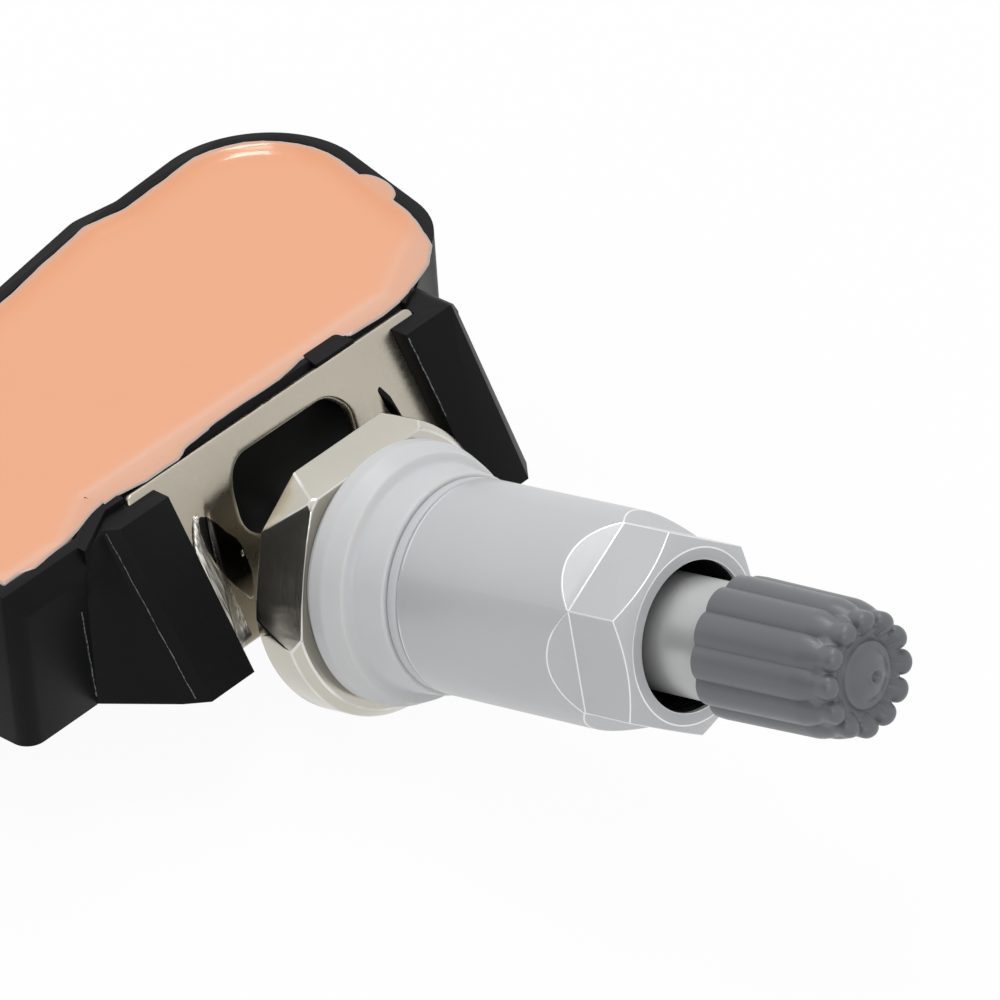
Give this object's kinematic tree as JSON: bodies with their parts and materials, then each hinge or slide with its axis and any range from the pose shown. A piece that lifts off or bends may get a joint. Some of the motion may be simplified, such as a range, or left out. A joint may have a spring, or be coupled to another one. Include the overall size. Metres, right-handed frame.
{
  "type": "tyre pressure sensor",
  "caption": "Tyre pressure sensor: a potted radio housing on a clamp-in valve with a seal, a collar nut that unscrews, a cap that unscrews and a sprung valve pin.",
  "frame": {"origin": "centre of the front face of the valve's flange, on the stem axis, where the valve is clamped on the rim", "axes": "+X along the housing's long side, +Y from the valve to the housing's back, +Z out of the potted face; the stem leaves along -Y and leans towards +Z"},
  "size_m": [0.0554, 0.0816, 0.0252],
  "materials": {
    "case_plastic": "satin, faint moulding grain",
    "potting": "smooth, slightly glossy cast compound",
    "board_laminate": "glossy solder mask",
    "cell_steel": "satin",
    "contact_metal": "tinned",
    "chip_package": "matte moulded",
    "capacitor_body": "fired ceramic",
    "coil_ferrite": "sintered, with a varnished winding",
    "seal_rubber": "matte",
    "filter_cloth": "fine membrane",
    "bracket_nickel": "nickel plated, satin",
    "screw_steel": "zinc plated",
    "stem_nickel": "nickel plated, turned",
    "seal_silicone": "translucent, satin",
    "washer_plastic": "satin",
    "nut_coat": "satin silver coat",
    "core_brass": "turned",
    "core_rubber": "matte",
    "cap_plastic": "satin, mid grey"
  },
  "bodies": {
    "sensor": {"housing_case": "case_plastic", "potting_fill": "potting", "circuit_board": "board_laminate", "battery_cell": "cell_steel", "battery_tab_top": "contact_metal", "battery_tab_bottom": "contact_metal", "pressure_chip": "chip_package", "controller_chip": "chip_package", "crystal_resonator": "contact_metal", "capacitor_row": "capacitor_body", "antenna_coil": "coil_ferrite", "port_seal": "seal_rubber", "pressure_port_filter": "filter_cloth", "bracket_plate": "bracket_nickel", "bracket_screw": "screw_steel", "screw_washer": "screw_steel", "valve_stem": "stem_nickel", "valve_seal": "seal_silicone", "core_body": "core_brass", "core_seal_ring": "core_rubber", "core_spring": "screw_steel"},
    "nut_slide": {"nut_washer": "washer_plastic"},
    "nut": {"collar_nut": "nut_coat"},
    "cap_slide": {"cap_gasket": "core_rubber"},
    "cap": {"valve_cap": "cap_plastic"},
    "pin": {"core_pin": "core_brass", "core_cup_seal": "core_rubber"}
  },
  "joints": [
    {"name": "nut_travel", "type": "slide", "parent": "sensor", "child": "nut_slide", "axis": [0, -0.9761, 0.2175], "range_m": [0, 0.00357]},
    {"name": "nut_turn", "type": "hinge", "parent": "nut_slide", "child": "nut", "pos_m": [0, 0, 0], "axis": [0, -0.9761, 0.2175], "range_deg": [0, 1620]},
    {"name": "cap_travel", "type": "slide", "parent": "sensor", "child": "cap_slide", "axis": [0, -0.9761, 0.2175], "range_m": [0, 0.00714]},
    {"name": "cap_turn", "type": "hinge", "parent": "cap_slide", "child": "cap", "pos_m": [0, 0, 0], "axis": [0, -0.9761, 0.2175], "range_deg": [0, 3240]},
    {"name": "core_pin_press", "type": "slide", "parent": "sensor", "child": "pin", "axis": [0, 0.9761, -0.2175], "range_m": [0, 0.0012], "stiffness_N_per_m": 800, "springref_m": -0.001}
  ],
  "couplings": [
    {"joint": "nut_turn", "follows": "nut_travel", "rad_per_m": 7913.3},
    {"joint": "cap_turn", "follows": "cap_travel", "rad_per_m": 7913.3}
  ]
}
